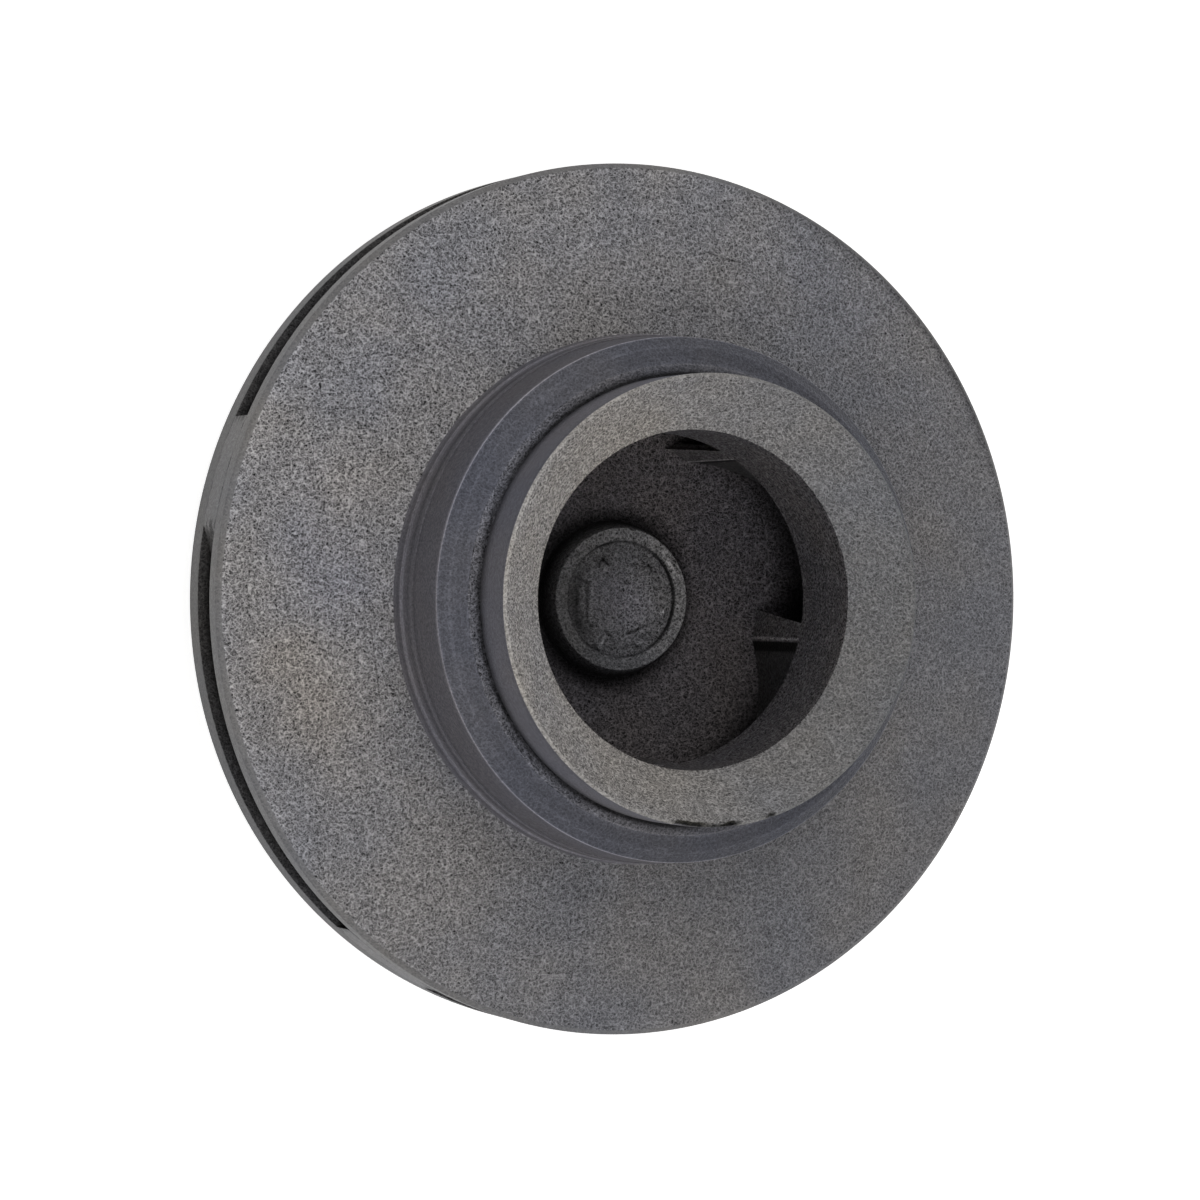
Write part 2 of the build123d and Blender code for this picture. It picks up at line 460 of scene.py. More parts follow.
@dataclass(frozen=True)
class PlasticSkin:
    """Glass-filled moulded plastic. The mesh's tone, grain, gloss and rings attributes drive it."""

    curl_size: float = 0.66
    curl_width: float = 0.115
    curl_depth: float = 0.32
    curl_lift: float = 0.17
    lump_size: float = 0.40
    lump_depth: float = 1.5
    speck_size: float = 0.22
    speck_depth: float = 1.5
    blotch_size: float = 3.2
    blotch_depth: float = 0.26
    patch_size: float = 22.0
    patch_depth: float = 0.30
    patch_spread: float = 0.14
    warm: tuple[float, float, float, float] = (1.035, 1.005, 0.965, 1.0)
    cool: tuple[float, float, float, float] = (0.975, 0.99, 1.035, 1.0)
    ring_pitch: float = 0.45
    ring_depth: float = 0.55
    ring_slope: float = 1.3
    relief_mm: float = 0.12
    relief_strength: float = 0.7
    blotch_relief: float = 0.4
    ring_relief: float = 0.3
    grain_gloss: float = 0.06
    specular: float = 0.1
    broken_size: float = 0.7
    broken_depth: float = 1.3
    mark_level: float = 19.5
    scratches: tuple[ScratchAndPaintedLight, ...] = (
        ScratchAndPaintedLight((184, 41.9), (199, 42.6), 0.16, 0.45),
        ScratchAndPaintedLight((78, 52.0), (72, 52.0), 0.22, 0.45),
        ScratchAndPaintedLight((84, 45.5), (75, 44.0), 0.18, 0.40),
        ScratchAndPaintedLight((197, 55.4), (207, 55.1), 0.20, 0.32),
        ScratchAndPaintedLight((207, 44.0), (205, 39.3), 0.22, 0.45),
        ScratchAndPaintedLight((61, 42.7), (59, 43.5), 0.25, 0.50),
        ScratchAndPaintedLight((19, 44.3), (17, 44.3), 0.30, 0.55),
        ScratchAndPaintedLight((11, 45.0), (9, 45.0), 0.30, 0.55),
        ScratchAndPaintedLight((357, 45.0), (355, 45.4), 0.30, 0.55),
    )
    # Painted light on the nose: the bright dots are painted highlights on the pips and on the craters'
    # rims, and the dark ones are their painted shadows.
    pip_highlights_and_shadows: tuple[ScratchAndPaintedLight, ...] = (
        ScratchAndPaintedLight((342, 6.8), (343, 7.0), 0.62, -2.4),
        ScratchAndPaintedLight((340, 7.5), (342, 7.5), 0.42, 0.75),
        ScratchAndPaintedLight((294, 7.1), (296, 7.1), 0.60, -2.2),
        ScratchAndPaintedLight((290, 7.5), (294, 7.7), 0.42, 0.70),
        ScratchAndPaintedLight((244, 7.9), (246, 6.8), 0.42, -1.1),
        ScratchAndPaintedLight((238, 7.9), (246, 8.2), 0.45, 0.80),
        ScratchAndPaintedLight((124, 6.0), (117, 6.5), 0.42, 0.80),
        ScratchAndPaintedLight((116, 6.5), (112, 5.4), 0.42, 0.80),
        ScratchAndPaintedLight((119, 5.5), (120, 5.1), 0.48, -0.55),
        ScratchAndPaintedLight((51, 6.0), (48, 6.7), 0.40, 0.65),
        ScratchAndPaintedLight((48, 6.7), (40, 6.4), 0.40, 0.65),
        ScratchAndPaintedLight((46, 6.0), (42, 6.0), 0.45, -0.50),
    )
    # Lines on the nose: mostly painted shade along the hexagon's edges, in the recess and under the ring,
    # with painted highlights beside them on the hexagon and on the ring.
    nose_shade_and_highlights: tuple[ScratchAndPaintedLight, ...] = (
        ScratchAndPaintedLight((281, 5.2), (301, 5.2), 0.40, 0.75),
        ScratchAndPaintedLight((301, 5.2), (315, 5.5), 0.36, 0.55),
        ScratchAndPaintedLight((282, 5.6), (312, 6.0), 0.45, -0.28),
        ScratchAndPaintedLight((160, 5.0), (202, 5.3), 0.50, -0.45),
        ScratchAndPaintedLight((157, 5.7), (205, 5.9), 0.50, 0.50),
        ScratchAndPaintedLight((210, 6.1), (221, 6.2), 0.40, 0.55),
        ScratchAndPaintedLight((241, 5.2), (260, 6.1), 0.38, 0.50),
        ScratchAndPaintedLight((155, 7.9), (156, 6.1), 0.40, 0.60),
        ScratchAndPaintedLight((169, 7.0), (195, 7.2), 0.42, 0.55),
        ScratchAndPaintedLight((224, 8.6), (237, 8.5), 0.50, 0.55),
        ScratchAndPaintedLight((112, 8.4), (102, 8.3), 0.36, 0.50),
        ScratchAndPaintedLight((37, 9.2), (21, 9.8), 0.50, -0.55),
        ScratchAndPaintedLight((35, 9.7), (21, 10.3), 0.32, 0.50),
    )
    chip_marks: tuple[ScratchAndPaintedLight, ...] = (
        ScratchAndPaintedLight((258, 31.3), (263, 31.4), 0.30, 0.55),
        ScratchAndPaintedLight((262, 31.4), (266, 31.4), 0.42, 0.90),
        ScratchAndPaintedLight((266, 31.5), (270, 31.5), 0.40, 0.75),
        ScratchAndPaintedLight((270, 31.5), (275, 31.5), 0.50, 0.95),
        ScratchAndPaintedLight((275, 31.4), (277, 31.3), 0.48, 0.85),
        ScratchAndPaintedLight((285, 31.4), (287, 31.4), 0.46, 0.95),
    )

    def marks_and_painted_light(self, g: Graph, place: Signal, z: Signal) -> Signal:
        """Return what the scratches, marks, painted highlights and painted shade lines leave of the tone: 1
        off them, and 1 below their level.

        Args:
            g: the graph.
            place: object coordinates.
            z: their height.

        Returns:
            A factor on the tone.
        """
        flat = g.vector("MULTIPLY", place, (1.0 / MM, 1.0 / MM, 0.0))
        marks = self.scratches + self.pip_highlights_and_shadows + self.nose_shade_and_highlights + self.chip_marks
        total = sum((mark.mask(g, flat) for mark in marks[1:]), marks[0].mask(g, flat))
        broken = g.noise(place, self.broken_size, 1.0) * self.broken_depth + 1.0
        values = {0: z, 1: self.mark_level * MM}
        above = g.signal("ShaderNodeMath", {"operation": "GREATER_THAN"}, values)
        return 1.0 - total * broken * above

    def curls(self, g: Graph, place: Signal) -> Signal:
        """Return the moulding's grain about zero: pale curls, with lumps and specks between them.

        A curl is where a noise passes through zero: a smooth step of |noise| from 1 down to -1.

        Args:
            g: the graph.
            place: object coordinates.

        Returns:
            The grain.
        """
        wave = g.noise(place, self.curl_size, 0.0)
        away = g.signal("ShaderNodeMath", {"operation": "ABSOLUTE"}, {0: wave})
        curl = g.bell(away, self.curl_width, 1.0, -1.0)
        lump = g.noise(place, self.lump_size, 1.0)
        speck = g.noise(place, self.speck_size, 0.0)
        return curl * self.curl_depth + lump * self.lump_depth + speck * self.speck_depth + self.curl_lift

    def build(self) -> bpy.types.Material:
        """Make the material.

        The tone is scaled by the grain, the blotches, the rings, the marks, which include painted
        highlights and painted shade, and the large patches, which are also tinted warm or cool. Rings are
        noise along radius plus level, so they run round the axis.

        Returns:
            The material.
        """
        g = Graph("moulded_plastic")
        place = g.signal("ShaderNodeTexCoord", {}, {}, "Object")
        tone = g.attribute("tone", "Color")
        grain = g.attribute("grain", "Fac")
        gloss = g.attribute("gloss", "Fac")
        rings = g.attribute("rings", "Fac")

        fine = self.curls(g, place)
        blotch = g.noise(place, self.blotch_size, 3.0, 0.55)
        patch = g.noise(place, self.patch_size, 3.0, 0.5)

        parts = g.node("ShaderNodeSeparateXYZ", {}, {0: place})
        x, y, z = (Signal(g, parts.outputs[axis]) for axis in range(3))
        lines = g.lines((x * x + y * y) ** 0.5 + z * self.ring_slope, self.ring_pitch, 2.0)

        level = (1.0 + grain * fine) * (1.0 + blotch * self.blotch_depth)
        level = level * (1.0 + patch * self.patch_depth) * (1.0 + rings * lines * self.ring_depth)
        level = level * self.marks_and_painted_light(g, place, z)
        hue = g.mixed("MIX", g.share(patch, -self.patch_spread, self.patch_spread), self.cool, self.warm)

        height = grain * fine + blotch * self.blotch_relief + rings * lines * self.ring_relief
        bump = g.node("ShaderNodeBump", {}, {
            "Strength": self.relief_strength, "Distance": self.relief_mm * MM, "Height": height})
        shader = g.node("ShaderNodeBsdfPrincipled", {}, {
            "Base Color": g.mixed("MULTIPLY", 1.0, g.scaled(tone, level), hue),
            "Roughness": gloss - fine * grain * self.grain_gloss,
            "Specular IOR Level": self.specular,
            "Normal": Signal(g, bump.outputs[0]),
        })
        return g.finish(shader)


@dataclass(frozen=True)
class BrassSkin:
    """Turned brass, a little dulled."""

    bright: tuple[float, float, float, float] = (0.72, 0.50, 0.22, 1.0)
    dull: tuple[float, float, float, float] = (0.38, 0.26, 0.12, 1.0)
    ring_pitch: float = 0.12
    ring_strength: float = 0.5
    ring_relief_mm: float = 0.02
    tarnish_size: float = 3.0
    tarnish_low: float = -0.15
    tarnish_high: float = 0.2
    rough: float = 0.32
    tarnish_rough: float = 0.2

    def build(self) -> bpy.types.Material:
        """Make the material, whose tarnish and turning rings come from noise.

        Returns:
            The material.
        """
        g = Graph("insert_brass")
        place = g.signal("ShaderNodeTexCoord", {}, {}, "Object")
        parts = g.node("ShaderNodeSeparateXYZ", {}, {0: place})
        x, y = (Signal(g, parts.outputs[axis]) for axis in range(2))
        lines = g.lines((x * x + y * y) ** 0.5, self.ring_pitch, 1.0)
        tarnish = g.share(g.noise(place, self.tarnish_size, 4.0), self.tarnish_low, self.tarnish_high)
        bump = g.node("ShaderNodeBump", {}, {
            "Strength": self.ring_strength, "Distance": self.ring_relief_mm * MM, "Height": lines})
        shader = g.node("ShaderNodeBsdfPrincipled", {}, {
            "Base Color": g.mixed("MIX", tarnish, self.bright, self.dull),
            "Metallic": 1.0,
            "Roughness": self.rough + tarnish * self.tarnish_rough,
            "Normal": Signal(g, bump.outputs[0]),
        })
        return g.finish(shader)


# ---- mesh tools ----


@dataclass(frozen=True)
class Corner:
    """One corner of a profile.

    The zone is that of the leg which ends at the corner, and the step is the spacing along that leg.
    """

    radius: float
    level: float
    round: float
    zone: Zone
    step: float = 1.2


@dataclass
class Profile:
    """A profile in radius and level, with each point's zone and outward normal."""

    points: np.ndarray
    zones: list[Zone]

    @property
    def normals(self) -> np.ndarray:
        """Outward normals: the tangent turned a quarter turn clockwise."""
        tangent = np.gradient(self.points, axis=0)
        tangent /= np.maximum(np.linalg.norm(tangent, axis=1, keepdims=True), 1e-9)
        return np.stack([tangent[:, 1], -tangent[:, 0]], axis=1)


def rounded(corners: list[Corner], closed: bool) -> Profile:
    """Round a profile's corners with parabolas and fill its legs with points.

    A parabola meets its legs at radius * tan(turn / 2) from the corner, and at most 0.45 of a leg.

    Args:
        corners: the corners in order, with the solid on their left.
        closed: whether the last corner joins the first.

    Returns:
        The dense profile.
    """
    spots = np.array([(c.radius, c.level) for c in corners], float)
    count = len(corners)
    runs: list[np.ndarray] = []
    zones: list[Zone] = []
    for i, corner in enumerate(corners):
        here = spots[i]
        arc = here[None, :]
        if closed or 0 < i < count - 1:
            into, out = here - spots[i - 1], spots[(i + 1) % count] - here
            long_in, long_out = np.linalg.norm(into), np.linalg.norm(out)
            into, out = into / long_in, out / long_out
            turn = np.arccos(np.clip(into @ out, -1.0, 1.0))
            cut = min(corner.round * np.tan(turn / 2), 0.45 * long_in, 0.45 * long_out)
            if cut > 1e-4:
                share = np.linspace(0.0, 1.0, max(3, int(np.ceil(np.degrees(turn) / 15)) + 1))[:, None]
                start, end = here - into * cut, here + out * cut
                arc = (1 - share) ** 2 * start + 2 * share * (1 - share) * here + share**2 * end
        if runs:
            fill = leg(runs[-1][-1], arc[0], corner.step)
            runs.append(fill)
            zones += [corner.zone] * len(fill)
        next_zone = corners[(i + 1) % count].zone
        half = (len(arc) + 1) // 2
        runs.append(arc)
        zones += [corner.zone] * half + [next_zone] * (len(arc) - half)
    if closed:
        fill = leg(runs[-1][-1], runs[0][0], corners[0].step)
        runs.append(fill)
        zones += [corners[0].zone] * len(fill)
    return Profile(np.concatenate([run for run in runs if len(run)]), zones)


def leg(start: np.ndarray, end: np.ndarray, step: float) -> np.ndarray:
    """Return evenly spaced points strictly between two points.

    Args:
        start: the first point.
        end: the last point.
        step: the largest spacing.

    Returns:
        The points, perhaps none.
    """
    count = int(np.ceil(np.linalg.norm(end - start) / step)) - 1
    share = (np.arange(1, count + 1) / (count + 1))[:, None] if count > 0 else np.zeros((0, 1))
    return start + (end - start) * share


def soft_noise(rng: np.random.Generator, shape: tuple[int, int], spread: tuple[float, float]) -> np.ndarray:
    """Return smooth random values over a grid that repeats both ways.

    White noise is blurred with a Gaussian by Fourier transform and scaled to a deviation of one.

    Args:
        rng: the random source.
        shape: rows and columns.
        spread: the blur in rows and in columns.

    Returns:
        The grid of values.
    """
    rows = np.fft.fftfreq(shape[0])[:, None] * spread[0]
    columns = np.fft.fftfreq(shape[1])[None, :] * spread[1]
    keep = np.exp(-2 * np.pi**2 * (rows**2 + columns**2))
    field = np.fft.ifft2(np.fft.fft2(rng.standard_normal(shape)) * keep).real
    return field / field.std()


def window(angles: np.ndarray, start: float, arc: float, fade: float) -> np.ndarray:
    """Return 1 inside a stretch of angles and 0 outside, with smooth ends.

    Args:
        angles: angles in degrees.
        start: where the stretch starts.
        arc: how far it runs.
        fade: the length of each end.

    Returns:
        One value for each angle.
    """
    inside = (angles - start) % 360.0
    rise = np.clip(np.minimum(inside, arc - inside) / fade, 0.0, 1.0)
    rise = np.where(inside <= arc, rise, 0.0)
    return rise * rise * (3 - 2 * rise)


def rows_in(rows: list[Zone], zones: tuple[Zone, ...]) -> np.ndarray:
    """Return 1 for each row whose zone is one of those given and 0 for the others."""
    return np.array([zone in zones for zone in rows], float)


@dataclass
class Skin:
    """A grid of points with the attributes that the plastic reads.

    Points, in mm, and tone are (rows, columns, 3), and the others are (rows, columns).
    """

    points: np.ndarray
    tone: np.ndarray
    grain: np.ndarray
    gloss: np.ndarray
    rings: np.ndarray
    zones: list[Zone]

    def within(self, zones: tuple[Zone, ...]) -> np.ndarray:
        """Return 1 for each row that lies in one of the zones and 0 for the others."""
        return rows_in(self.zones, zones)

    def lay_tone_and_painted_light(self, profile: Profile, drifts: tuple[Drift, ...], bands: tuple[Band, ...],
             strokes: tuple[Stroke, ...], rng: np.random.Generator) -> None:
        """Lay drifts, bands and strokes on the tone, in this order.

        Args:
            profile: the profile that was turned.
            drifts: slow changes round the axis.
            bands: painted highlights, painted shade and other darkening round the axis.
            strokes: soft patches.
            rng: the random source of the bands' unevenness.
        """
        for drift in drifts:
            drift.apply_drift(self)
        ripples = soft_noise(rng, (len(bands), self.points.shape[1]), (0.0, RIPPLE_BLUR))
        for band, ripple in zip(bands, ripples):
            band.lay(self, profile, ripple)
        for stroke in strokes:
            stroke.lay(self)

    @staticmethod
    def dressed(points: np.ndarray, zones: list[Zone]) -> "Skin":
        """Give each row the finish of its zone.

        Args:
            points: the grid in mm.
            zones: one zone for each row.

        Returns:
            The skin.
        """
        columns = points.shape[1]
        finishes = [FINISHES[zone] for zone in zones]
        tone = np.repeat(np.array([f.tint for f in finishes])[:, None, :], columns, axis=1)
        numbers = np.array([(f.grain, f.rough, f.rings) for f in finishes])
        grain, gloss, rings = (np.repeat(column[:, None], columns, axis=1) for column in numbers.T)
        return Skin(points, tone, grain, gloss, rings, zones)


def distance(x: np.ndarray, y: np.ndarray, angle: float, radius: float) -> np.ndarray:
    """Return how far places lie in plan from the one at an angle, in degrees, and a radius."""
    turn = np.radians(angle)
    return np.hypot(x - radius * np.cos(turn), y - radius * np.sin(turn))


def turned(profile: Profile, columns: int, offset: np.ndarray) -> np.ndarray:
    """Turn a profile round the axis: (r cos a, r sin a, z), moved along its normals by an offset.

    Args:
        profile: the profile.
        columns: how many steps the turn has.
        offset: (rows, columns) distances along the normals.

    Returns:
        The (rows, columns, 3) points in mm.
    """
    angle = np.linspace(0.0, 2 * np.pi, columns, endpoint=False)[None, :]
    moved = profile.points[:, None, :] + offset[:, :, None] * profile.normals[:, None, :]
    reach = np.maximum(moved[:, :, 0], 0.0)
    return np.stack([reach * np.cos(angle), reach * np.sin(angle), moved[:, :, 1]], axis=2)


def grid_faces(rows: int, columns: int, wrap_rows: bool, wrap_columns: bool) -> np.ndarray:
    """Return the quads of a grid, wound so that a turned profile faces outwards.

    Args:
        rows: how many rows of points it has.
        columns: how many points each row has.
        wrap_rows: whether the last row joins the first.
        wrap_columns: whether the last column joins the first.

    Returns:
        (faces, 4) point numbers.
    """
    number = np.arange(rows * columns).reshape(rows, columns)
    if wrap_rows:
        number = np.concatenate([number, number[:1]], axis=0)
    if wrap_columns:
        number = np.concatenate([number, number[:, :1]], axis=1)
    low_left, low_right = number[:-1, :-1], number[:-1, 1:]
    high_left, high_right = number[1:, :-1], number[1:, 1:]
    return np.stack([low_left, low_right, high_right, high_left], axis=2).reshape(-1, 4)


def make_piece(name: str, skins: list[tuple[Skin, np.ndarray]],
               material: bpy.types.Material) -> bpy.types.Object:
    """Make one object from grids of points and their faces.

    Args:
        name: the piece's name.
        skins: each grid with its faces, numbered from the grid's own first point.
        material: the piece's material.

    Returns:
        The object, with doubles merged and smooth faces.
    """
    starts = np.cumsum([0] + [skin.points.shape[0] * skin.points.shape[1] for skin, _ in skins])
    points = np.concatenate([skin.points.reshape(-1, 3) for skin, _ in skins]) * MM
    faces = np.concatenate([quads + start for (_, quads), start in zip(skins, starts)])
    mesh = bpy.data.meshes.new(name)
    mesh.from_pydata(points.tolist(), [], faces.tolist())
    tone = np.concatenate([skin.tone.reshape(-1, 3) for skin, _ in skins])
    tone = np.concatenate([tone, np.ones((len(tone), 1))], axis=1)
    mesh.attributes.new("tone", "FLOAT_COLOR", "POINT").data.foreach_set("color", tone.ravel())
    for key in ("grain", "gloss", "rings"):
        values = np.concatenate([getattr(skin, key).ravel() for skin, _ in skins])
        mesh.attributes.new(key, "FLOAT", "POINT").data.foreach_set("value", values)
    work = bmesh.new()
    work.from_mesh(mesh)
    bmesh.ops.remove_doubles(work, verts=work.verts, dist=MERGE_MM * MM)
    bmesh.ops.dissolve_degenerate(work, edges=work.edges, dist=SLIVER_MM * MM)
    work.to_mesh(mesh)
    work.free()
    mesh.validate()
    mesh.polygons.foreach_set("use_smooth", np.ones(len(mesh.polygons), bool))
    mesh.set_sharp_from_angle(angle=SHARP_ANGLE)
    mesh.materials.append(material)
    piece = bpy.data.objects.new(name, mesh)
    bpy.context.collection.objects.link(piece)
    log.info("%s: %d faces", name, len(mesh.polygons))
    return piece


# ---- the object's sizes ----


@dataclass(frozen=True)
class Sizes:
    """Sizes that several pieces share, in mm."""

    disc_radius: float = 63.5
    back_face: float = 12.0
    floor: float = 16.1
    joint: float = 21.4
    rim_front: float = 24.2
    eye_radius: float = 24.0
    eye_end: float = 32.0
    roof_cone_radius: float = 33.0
    roof_cone_rise: float = 4.0
    roof_entry_angle: float = 58.0
    vane_count: int = 5
    inlet_corner_angle: float = 347.1
    inlet_arc: float = 11.9
    inlet_top_arc: float = 7.4
    outlet_arc: float = 14.6
    inlet_vane_angle: float = 29.7
    vane_wrap: float = 119.2
    vane_nose_chamfer: float = 1.2

    def roof_curve(self) -> np.ndarray:
        """Return the passage's roof from the rim to the eye.

        It is a straight cone and then a cubic whose ends follow the cone and the entry angle, each
        with a tangent as long as the chord.

        Returns:
            (points, 2) radius and level.
        """
        cone_end = np.array([self.roof_cone_radius, self.joint + self.roof_cone_rise])
        eye_end = np.array([self.eye_radius, self.eye_end])
        start = np.array([self.disc_radius, self.joint])
        chord = np.linalg.norm(eye_end - cone_end)
        along = (cone_end - start) / np.linalg.norm(cone_end - start) * chord
        entry = np.radians(self.roof_entry_angle)
        rise = np.array([-np.cos(entry), np.sin(entry)]) * chord
        t = np.linspace(0.0, 1.0, 15)[:, None]
        curve = (
            (2 * t**3 - 3 * t**2 + 1) * cone_end
            + (t**3 - 2 * t**2 + t) * along
            + (3 * t**2 - 2 * t**3) * eye_end
            + (t**3 - t**2) * rise
        )
        return np.concatenate([start[None, :], curve])

    def roof_level(self, radius: np.ndarray) -> np.ndarray:
        """Return the roof's level at given radii."""
        curve = self.roof_curve()[::-1]
        return np.interp(radius, curve[:, 0], curve[:, 1])

    def side_angle(self, radius: np.ndarray, start: np.ndarray, wrap: np.ndarray) -> np.ndarray:
        """Return the angle of a vane's side at given radii.

        The angle falls with p = log(radius / eye radius) as rate * p + change * p^2, where the rate
        gives the inlet vane angle and the change makes up the whole wrap at the rim.

        Args:
            radius: the radii.
            start: the side's angle at the eye.
            wrap: how far it turns out to the rim.

        Returns:
            Angles in degrees.
        """
        growth = np.log(self.disc_radius / self.eye_radius)
        rate = np.degrees(1 / np.tan(np.radians(self.inlet_vane_angle)))
        part = np.log(radius / self.eye_radius)
        return start - rate * part - (wrap - rate * growth) / growth**2 * part**2


SIZES = Sizes()


# ---- front shroud ----


@dataclass
class FrontShroud:
    """The cover disc with its step, shoulder, neck and dished eye."""

    columns: int = 380
    rim_chamfer: float = 0.7
    cone_rise: float = 3.15
    foot_radius: float = 38.45
    step_height: float = 14.1
    step_draft: float = 3.7
    ledges: tuple[float, ...] = (2.2, 6.0)
    ledge_depth: float = 0.12
    bevel_width: float = 1.6
    bevel_rise: float = 1.15
    neck_radius: float = 31.7
    neck_foot_rise: float = 1.1
    neck_length: float = 8.8
    neck_edge: float = 0.4
    bead_width: float = 1.7
    bead_height: float = 0.25
    dish_depth: float = 6.6
    flash_blur: tuple[float, float] = (1.2, 1.3)
    flash_lump: float = 0.10
    flash_least: float = 0.12
    flash_side: float = 180.0
    face_blur: tuple[float, float] = (6.0, 9.0)
    face_wave: float = 0.03
    chips: tuple[tuple[float, float, float], ...] = ((259.1, 17.1, 0.9), (285.0, 2.2, 0.5))
    chip_lean: tuple[float, float] = (0.6, 0.8)
    chip_reach: float = 2.5
    chip_fade: float = 0.6
    edge_wear: float = 0.06
    edge_ragged: float = 0.03
    chip_share: float = 0.75
    chip_ragged: float = 0.22
    chip_blur: tuple[float, float] = (2.0, 2.2)
    dark_from: float = 0.14
    dark_over: float = 0.12
    dark_share: float = 0.92
    dark_tint: tuple[float, float, float] = (0.024, 0.022, 0.017)
    dark_grain: float = 1.2
    # The face, dish and shoulder grow lighter towards the left, the dish also warmer, and the flash
    # grainier there. The land's drift is a painted highlight, strongest on the left.
    drifts: tuple[Drift, ...] = (
        Drift((Zone.FACE,), 146.0, 0.22, 0.22),
        Drift((Zone.DISH,), 170.5, 0.285, 0.16, (0.028, 0.004, -0.030)),
        Drift((Zone.LAND,), 172.0, 0.55, 0.10, (0.030, 0.004, -0.030)),
        Drift((Zone.SHOULDER,), 160.0, 0.18, 0.10),
        Drift((Zone.FLASH,), 180.0, 0.15, 0.80),
    )
    strokes: tuple[Stroke, ...] = (
        Stroke((Zone.FACE,), (-53.7, -9.7), (-48.7, -15.7), 6.5, (1.10, 1.05, 0.97)),
        Stroke((Zone.FACE,), (-49.5, 7.5), (-45.5, 2.5), 6.0, (1.02, 1.02, 1.05)),
        Stroke((Zone.FACE,), (-51.4, 17.8), (-43.4, 16.8), 5.0, (1.07, 1.06, 1.05)),
    )
    bands: tuple[Band, ...] = (
        # Painted light on the step's wall: the bright bands are painted highlights at its foot, on its
        # ledges and on its top edge, and the dark ones are painted shade lines between them.
        Band((Zone.WALL,), 1, 28.3, 0.9, 1.45),
        Band((Zone.WALL,), 1, 30.6, 0.40, 2.3),
        Band((Zone.WALL,), 1, 31.3, 0.9, 1.25),
        Band((Zone.WALL,), 1, 32.6, 0.50, 0.72),
        Band((Zone.WALL,), 1, 33.6, 0.35, 1.50),
        Band((Zone.WALL,), 1, 34.3, 0.45, 0.75),
        Band((Zone.WALL,), 1, 42.15, 0.42, 3.2),
        # Painted highlights on the shoulder's edges and on the bead at the neck's foot.
        Band((Zone.SHOULDER,), 0, 37.42, 0.16, 3.0),
        Band((Zone.SHOULDER,), 0, 35.85, 0.14, 1.22),
        Band((Zone.FLASH, Zone.SHOULDER), 0, 33.3, 0.6, 1.20),
        # Painted shade in the crease at the neck's foot. The neck is also darkened just below its front
        # edge.
        Band((Zone.FLASH,), 0, 31.9, 0.42, 0.20, 0.15),
        Band((Zone.NECK,), 1, 44.3, 1.5, 0.45, 0.1),
        Band((Zone.NECK,), 1, 52.2, 0.35, 0.85),
        # On the rim's chamfer: a painted shadow at the upper right and a painted highlight on the left.
        Band((Zone.RIM, Zone.FACE), 0, 62.9, 0.45, 0.45, 0.35, 8.0, 72.0),
        Band((Zone.RIM, Zone.FACE), 0, 62.8, 0.30, 1.25, 0.35, 130.0, 110.0),
    )

    def corners(self) -> list[Corner]:
        """Return the profile's corners, up the outside from the joint and back down through the eye."""
        cone_edge = SIZES.rim_front + self.rim_chamfer
        foot = cone_edge + self.cone_rise
        slope = np.tan(np.radians(self.step_draft))
        corners = [
            Corner(SIZES.disc_radius, SIZES.joint, 0.15, Zone.PASSAGE),
            Corner(SIZES.disc_radius, SIZES.rim_front, 0.15, Zone.RIM, 0.9),
            Corner(SIZES.disc_radius - self.rim_chamfer, cone_edge, 0.12, Zone.RIM, 0.4),
            Corner(self.foot_radius, foot, 0.18, Zone.FACE, 1.5),
        ]
        cut = 0.0
        for ledge in self.ledges:
            radius = self.foot_radius - ledge * slope
            corners.append(Corner(radius - cut, foot + ledge, 0.05, Zone.WALL, 0.35))
            cut += self.ledge_depth
            corners.append(Corner(radius - cut, foot + ledge + 0.02, 0.03, Zone.WALL))
        top_radius = self.foot_radius - self.step_height * slope - cut
        top = foot + self.step_height
        bevel_radius, bevel = top_radius - self.bevel_width, top + self.bevel_rise
        bead_radius = self.neck_radius + self.bead_width
        neck_foot = bevel + self.neck_foot_rise
        neck_top = neck_foot + self.neck_length
        corners += [
            Corner(top_radius, top, 0.22, Zone.WALL, 0.35),
            Corner(bevel_radius, bevel, 0.5, Zone.SHOULDER, 0.22),
            Corner(bead_radius, neck_foot - self.bead_height, 0.1, Zone.SHOULDER, 0.4),
            Corner(bead_radius - self.bead_height, neck_foot, 0.1, Zone.FLASH, 0.2),
            Corner(self.neck_radius, neck_foot, 0.1, Zone.FLASH, 0.22),
            Corner(self.neck_radius, neck_top - self.neck_edge, 0.08, Zone.NECK, 0.5),
            Corner(self.neck_radius - self.neck_edge, neck_top, 0.12, Zone.LAND, 0.15),
            Corner(SIZES.eye_radius, neck_top - self.dish_depth, 0.12, Zone.DISH, 0.5),
            Corner(SIZES.eye_radius, SIZES.eye_end, 0.3, Zone.BORE, 2.0),
        ]
        roof = SIZES.roof_curve()[::-1][1:-1]
        corners += [Corner(r, z, 0.0, Zone.PASSAGE, 2.5) for r, z in roof]
        return corners

